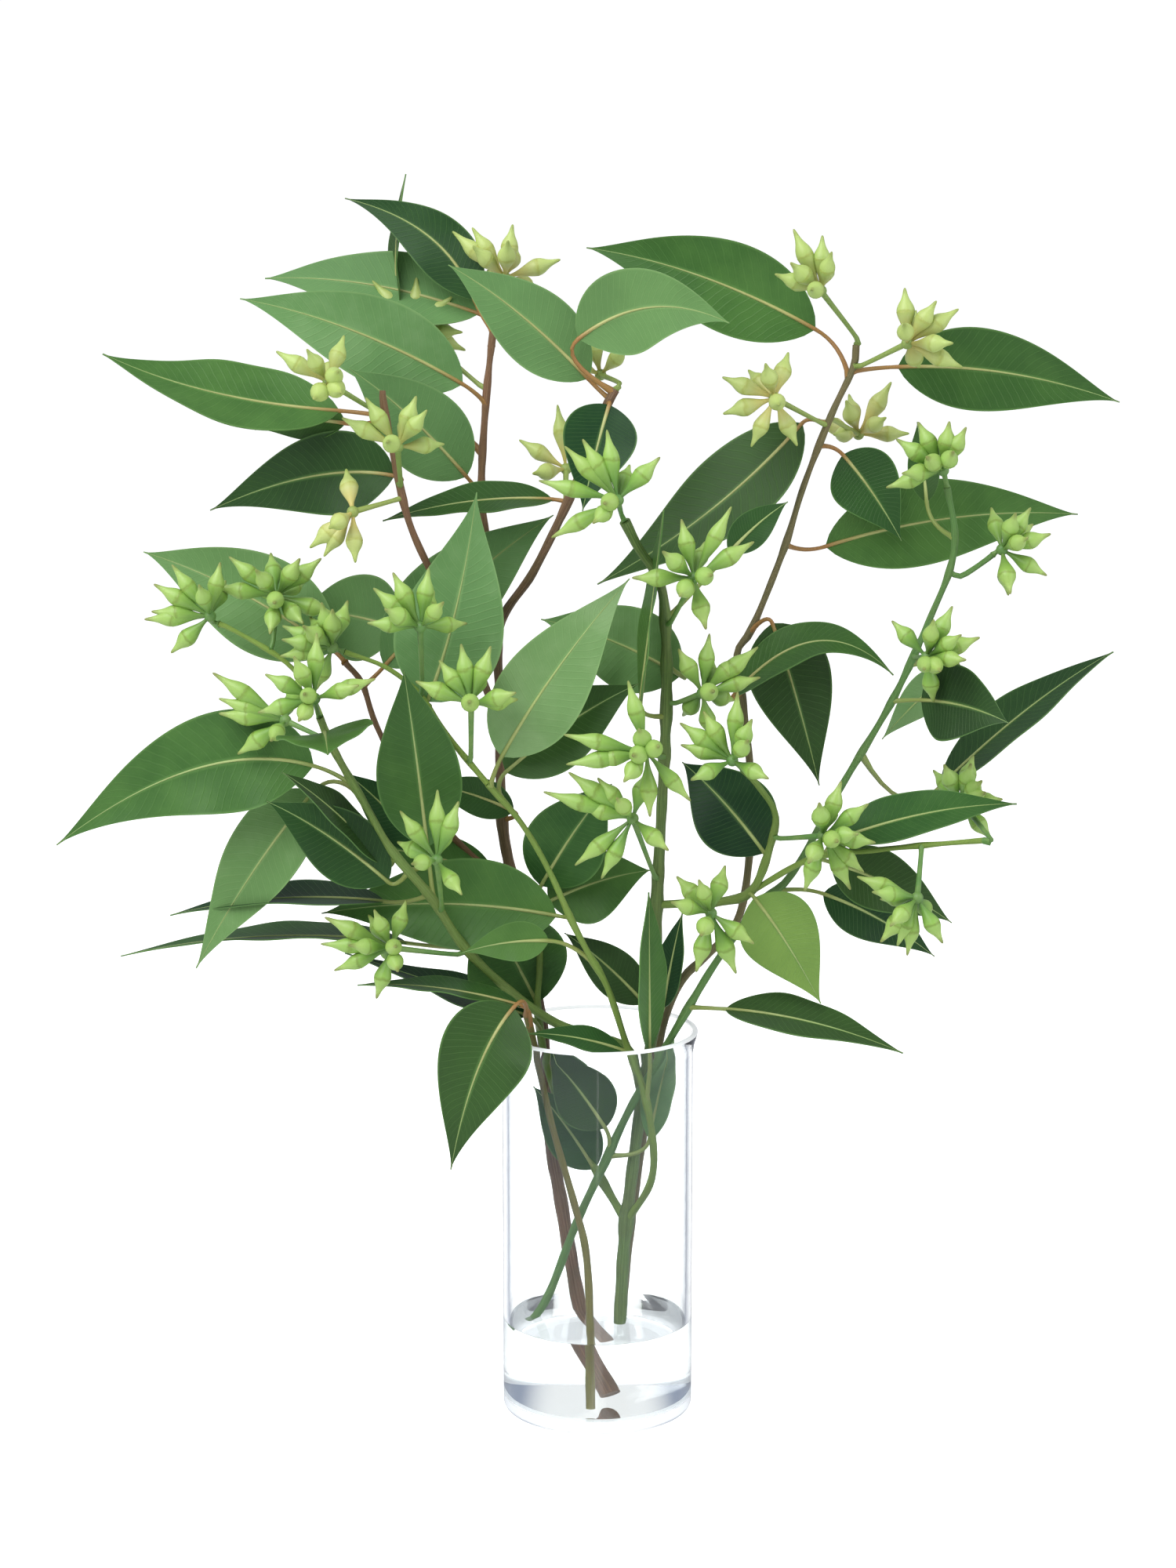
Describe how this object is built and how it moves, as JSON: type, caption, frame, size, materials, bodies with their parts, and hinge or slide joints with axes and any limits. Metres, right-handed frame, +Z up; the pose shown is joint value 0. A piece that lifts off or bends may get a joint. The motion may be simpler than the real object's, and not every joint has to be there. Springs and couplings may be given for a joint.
{
  "type": "eucalyptus gum nut sprigs in a glass vase",
  "caption": "Leafy eucalyptus stems with heads of beaked flower buds, standing in a clear glass cylinder vase with a little water.",
  "frame": {"origin": "middle of the vase's flat foot, which stands on the surface", "axes": "+Z up along the vase's axis, -Y towards the viewer of the picture, +X to the viewer's right"},
  "size_m": [0.5383, 0.2035, 0.6332],
  "materials": {
    "vase_glass": "clear, smooth",
    "water": "clear water",
    "leaf_and_stem": "satin leaves with pale veins, olive-green stems",
    "leaf_and_brown_stem": "satin leaves with pale veins, brown stems",
    "bud": "fresh yellow-green, satin"
  },
  "bodies": {
    "root": {"vase": "vase_glass", "water": "water", "sprig_olive": "leaf_and_stem", "sprig_brown": "leaf_and_brown_stem", "sprig_right": "leaf_and_stem", "sprig_tall_right": "leaf_and_brown_stem", "twig_low_left": "leaf_and_brown_stem", "bud_head_01": "bud", "bud_head_02": "bud", "bud_head_03": "bud", "bud_head_04": "bud", "bud_head_05": "bud", "bud_head_06": "bud", "bud_head_07": "bud", "bud_head_08": "bud", "bud_head_09": "bud", "bud_head_10": "bud", "bud_head_11": "bud", "bud_head_12": "bud", "bud_head_13": "bud", "bud_head_14": "bud", "bud_head_15": "bud", "bud_head_16": "bud", "bud_head_17": "bud", "bud_head_19": "bud", "bud_head_20": "bud", "bud_head_21": "bud", "bud_head_22": "bud", "bud_head_23": "bud", "bud_head_24": "bud", "bud_head_25": "bud", "bud_head_26": "bud", "bud_head_27": "bud", "bud_head_28": "bud", "bud_head_29": "bud", "bud_head_30": "bud", "bud_head_32": "bud", "bud_head_33": "bud", "bud_head_34": "bud", "bud_head_35": "bud"}
  },
  "joints": []
}
